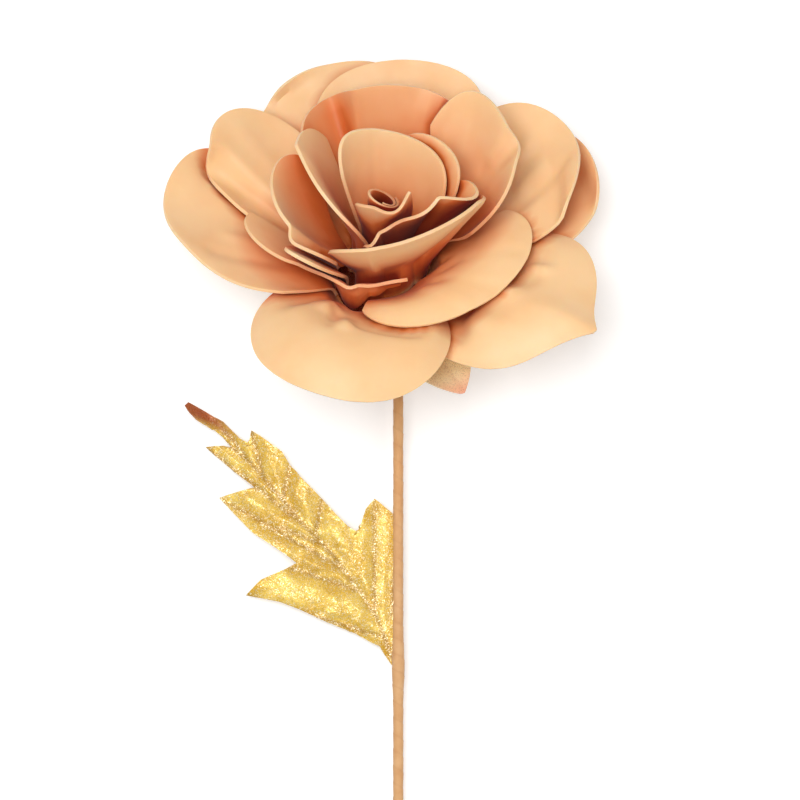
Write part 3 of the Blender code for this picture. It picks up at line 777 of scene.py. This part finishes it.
# Painted shade round the stem, where the calyx shows through the gaps between the petal roots
stain = 1 - smoothstep(*SEPAL_SHADED, reach)
mesh = grid_mesh("sepals", points, {"vein": rib * 0.4, "pink": pink, "stain": stain}, closed=True)
sepal_cloth = cloth_material(
    "sepal_cloth", rgb(255, 242, 200), rgb(248, 224, 176), rgb(190, 138, 86), rgb(236, 136, 116), "pink", 0.75
)
sepals = dressed("sepals", mesh, [sepal_cloth], ["calyx"])
thicken(sepals, FABRIC, OUTWARD, CLOTH_RIM_ROUND)

# The leaf: glittered cloth pressed over its veins
LEAF_ACROSS = 48
ROW_STEPS = 7
STEM_BESIDE = 0.010
QUILT_RISE = 0.0022
QUILT_WIDTH = 0.0050
CRINKLE_RISE = 0.0009
CRINKLE_SIZE = 0.009
CREASE_RISE = 0.0005
CREASE_SIZE = 0.0035
CURL_RISE = 0.010
CURLED = (0.100, 0.128)
BURNT_ROWS = (19.5, 22.0)
VEIN_WIDTH = 0.0016
VEIN_DEPTH = 0.7

# Both ends of each side vein, in metres beside the stem and up from the base
VEINS = [
    ((-0.008, 0.017), (-0.090, 0.042)), ((-0.004, 0.030), (-0.002, 0.060)),
    ((-0.014, 0.031), (-0.014, 0.099)), ((-0.032, 0.057), (-0.106, 0.100)),
    ((-0.022, 0.044), (-0.062, 0.058)), ((-0.049, 0.077), (-0.045, 0.099)),
    ((-0.055, 0.083), (-0.114, 0.130)), ((-0.068, 0.098), (-0.064, 0.119)),
    ((-0.044, 0.072), (-0.070, 0.082)), ((-0.080, 0.112), (-0.087, 0.140)),
    ((-0.090, 0.123), (-0.108, 0.137)),
]
row = np.linspace(0, len(LEAF_ROWS) - 1, (len(LEAF_ROWS) - 1) * ROW_STEPS + 1)
low = np.minimum(row.astype(int), len(LEAF_ROWS) - 2)
part_way = (row - low)[:, None, None]
edges = LEAF_ROWS[low] * (1 - part_way) + LEAF_ROWS[low + 1] * part_way
across = np.linspace(-1, 1, LEAF_ACROSS + 1)[:, None, None]
edge = np.where(across < 0, edges[None, :, 0], edges[None, :, 2])
flat = edges[None, :, 1] + (edge - edges[None, :, 1]) * np.abs(across)
x = flat[..., 0]
y = flat[..., 1] + LEAF_BASE_Y
under_stem = NECK_START[2] * y / STEM_LENGTH - TAPE_RADIUS - NODE_SWELL - CLEARANCE
on_table = FLOOR + FABRIC + LEAF_WIRE_RADIUS * 2 + LEAF_LIFT
away = 1 - np.exp(-((x / LEAF_DROOP_WIDTH) ** 2))
arch = LEAF_ARCH * np.sin(math.pi * np.minimum(np.abs(x) / LEAF_ARCH_SPAN, 1)) ** 2
height = under_stem + (on_table - under_stem) * away + arch * away
near = np.full(x.shape, 1.0)
midrib = LEAF_ROWS[:, 1]
for a, b in list(zip(midrib[:-1], midrib[1:])) + [(np.array(a), np.array(b)) for a, b in VEINS]:
    near = np.minimum(near, distance_to_segment(flat, a, b))
flat_points = np.stack([x, y, height], axis=-1)
clear_of_stem = 1 - np.exp(-((x / STEM_BESIDE) ** 2))
quilt = QUILT_RISE * (1 - np.exp(-((near / QUILT_WIDTH) ** 2)))
crinkle = CRINKLE_RISE * noise_at(flat_points, CRINKLE_SIZE, 5)
crinkle += CREASE_RISE * noise_at(flat_points, CREASE_SIZE, 6)
curl = CURL_RISE * smoothstep(*CURLED, -x) ** 2
height = height + (quilt + crinkle) * clear_of_stem + curl
points = np.stack([x, y, height], axis=-1)
burnt = np.broadcast_to(smoothstep(*BURNT_ROWS, row)[None, :], x.shape)
vein = np.exp(-((near / VEIN_WIDTH) ** 2)) * VEIN_DEPTH
mesh = grid_mesh("leaf_cloth", points, {"vein": vein, "burnt": burnt, "stain": 0.0})
leaf_cloth = cloth_material(
    "leaf_cloth", rgb(244, 206, 88), rgb(222, 174, 48), rgb(150, 102, 16), rgb(164, 74, 36), "burnt", 0.9
)
leaf = dressed("leaf_cloth", mesh, [leaf_cloth], ["leaf"])
thicken(leaf, FABRIC, OUTWARD if grid_normals(points)[5, 5, 2] < 0 else INWARD, CLOTH_RIM_ROUND)
width, length = (flat.reshape(-1, 2).max(axis=0) - flat.reshape(-1, 2).min(axis=0)).tolist()

# The stem: paper tape wound round the wire
TURN_PITCH = 0.0095
TURN_RISE = 0.00022
TURN_LEVEL = 0.6
WOBBLE_RISE = 0.00015
WOBBLE_SIZE = 0.012
LAP_WIDTH = 0.06
LAP_DEPTH = 0.3
SHOWN_WALL = 0.9
TAPE_RIM_ROUND = 0.0001
WOBBLE_TWIST = 0.002
TAPE_FACETS = 24
STEM_ROWS = 640
NECK_STEPS = 60
along = NECK_START / np.linalg.norm(NECK_START)
pulls = (NECK_START, NECK_START + along * NECK_PULL, placed(0.0, 0.0, -NECK_PULL), RECEPTACLE)
t = np.linspace(0, 1, NECK_STEPS)[1:, None]
weights = ((1 - t) ** 3, 3 * t * (1 - t) ** 2, 3 * t * t * (1 - t), t**3)
neck = sum(w * p for w, p in zip(weights, pulls))
neck[-1] = placed(0.0, 0.0, -2 * CLEARANCE)
straight = np.linspace(WIRE_PROUD / STEM_LENGTH, 1, STEM_ROWS)[:, None] * NECK_START
centre = np.vstack([straight, neck])
run = np.concatenate([[0], np.cumsum(np.linalg.norm(np.diff(centre, axis=0), axis=1))])
heading = unit(np.gradient(centre, axis=0))
up = unit(np.cross(np.array([1.0, 0, 0]), heading))
beside = np.cross(heading, up)
angle = np.linspace(-math.pi, math.pi, TAPE_FACETS, endpoint=False)[:, None]
phase = (run[None, :] / TURN_PITCH + angle / (2 * math.pi)) % 1.0
swell = NODE_SWELL * np.exp(-(((centre[:, 1] - LEAF_BASE_Y) / NODE_LENGTH) ** 2))[None, :]
round_stem = np.broadcast_to(centre, (TAPE_FACETS, *centre.shape)) + angle[..., None] * WOBBLE_TWIST
wobble = noise_at(round_stem, WOBBLE_SIZE, 9)
radius = TAPE_RADIUS + swell + TURN_RISE * (phase - TURN_LEVEL) + WOBBLE_RISE * wobble
points = centre + radius[..., None] * (np.sin(angle)[..., None] * beside + np.cos(angle)[..., None] * up)
lap = np.exp(-((np.minimum(phase, 1 - phase) / LAP_WIDTH) ** 2)) * LAP_DEPTH
mesh = grid_mesh("wound_tape", points, {"lap": lap}, closed=True)
tape = dressed("wound_tape", mesh, [tape_material()], ["stem_tape"])
thicken(tape, TAPE_WALL * SHOWN_WALL, INWARD, TAPE_RIM_ROUND)

# The wires keep their own shapes
steel = steel_material()
for name in ("stem_wire", "leaf_wire"):
    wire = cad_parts[name]
    wire.data.materials.clear()
    wire.data.materials.append(steel)

# The camera looks down on the table as the photograph's does, almost square to the stem
SCALE = 0.00059
CAMERA_LEAN = math.radians(7)
CAMERA_DISTANCE = 2.6
IMAGE_SIDE = 800
RECEPTACLE_PIXEL = (383, 285)
SENSOR = 36.0
right = Vector((1, 0, 0))
upward = Vector((0, math.cos(CAMERA_LEAN), math.sin(CAMERA_LEAN)))
back = right.cross(upward)
half_side = IMAGE_SIDE / 2
aim = Vector(RECEPTACLE) + right * ((half_side - RECEPTACLE_PIXEL[0]) * SCALE)
aim += upward * ((RECEPTACLE_PIXEL[1] - half_side) * SCALE)
camera = bpy.data.objects.new("camera", bpy.data.cameras.new("camera"))
camera.data.sensor_width = SENSOR
camera.data.lens = SENSOR * CAMERA_DISTANCE / (IMAGE_SIDE * SCALE)
camera.data.clip_start = 0.05
camera.data.clip_end = 50.0
turned = Matrix((right, upward, back)).transposed().to_4x4()
camera.matrix_world = Matrix.Translation(aim + back * CAMERA_DISTANCE) @ turned
bpy.context.scene.collection.objects.link(camera)
bpy.context.scene.camera = camera


def softbox(name, place, target, side, power):
    lamp = bpy.data.lights.new(name, "AREA")
    lamp.shape = "SQUARE"
    lamp.size = side
    lamp.energy = power
    thing = bpy.data.objects.new(name, lamp)
    thing.location = place
    thing.rotation_euler = (Vector(target) - Vector(place)).to_track_quat("-Z", "Y").to_euler()
    bpy.context.scene.collection.objects.link(thing)


LIT_POINT = (0, 0.45, 0.05)
softbox("key", (-0.35, 0.45, 2.1), LIT_POINT, 1.1, 30.0)
softbox("fill", (1.2, -0.5, 1.5), LIT_POINT, 1.2, 6.0)

# A pale table top, which reads white and keeps the shadow
TABLE_SIDE = 6.0
TABLE_DROP = 0.0002
TABLE_GLOW = 0.3
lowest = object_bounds()[0].z
bpy.ops.mesh.primitive_grid_add(size=TABLE_SIDE, location=(0, 0.3, lowest - TABLE_DROP))
floor = bpy.context.object
floor.name = "table_top"
table, tree, shader = surface("table_top")
cloud = texture(tree, "ShaderNodeTexNoise", TABLE_CLOUD).outputs["Fac"]
tree.links.new(mix(tree, cloud, (0.86, 0.86, 0.86, 1), (0.88, 0.88, 0.88, 1)), shader.inputs["Base Color"])
shader.inputs["Roughness"].default_value = 0.9
path = node(tree, "ShaderNodeLightPath")
seen = node(tree, "ShaderNodeMath", {0: path.outputs["Is Camera Ray"], 1: path.outputs["Is Glossy Ray"]},
            operation="MAXIMUM")
seen = node(tree, "ShaderNodeMath", {0: seen.outputs[0], 1: path.outputs["Is Transmission Ray"]},
            operation="MAXIMUM")
shader.inputs["Emission Color"].default_value = (1, 1, 1, 1)
tree.links.new(ranged(tree, seen.outputs[0], 0.0, 1.0, 0.0, TABLE_GLOW), shader.inputs["Emission Strength"])
floor.data.materials.append(table)

world = bpy.data.worlds.new("studio")
bpy.context.scene.world = world
world.use_nodes = True
world.node_tree.nodes["Background"].inputs["Color"].default_value = (1, 1, 1, 1)
world.node_tree.nodes["Background"].inputs["Strength"].default_value = 0.4
bpy.context.scene.view_settings.view_transform = "Standard"
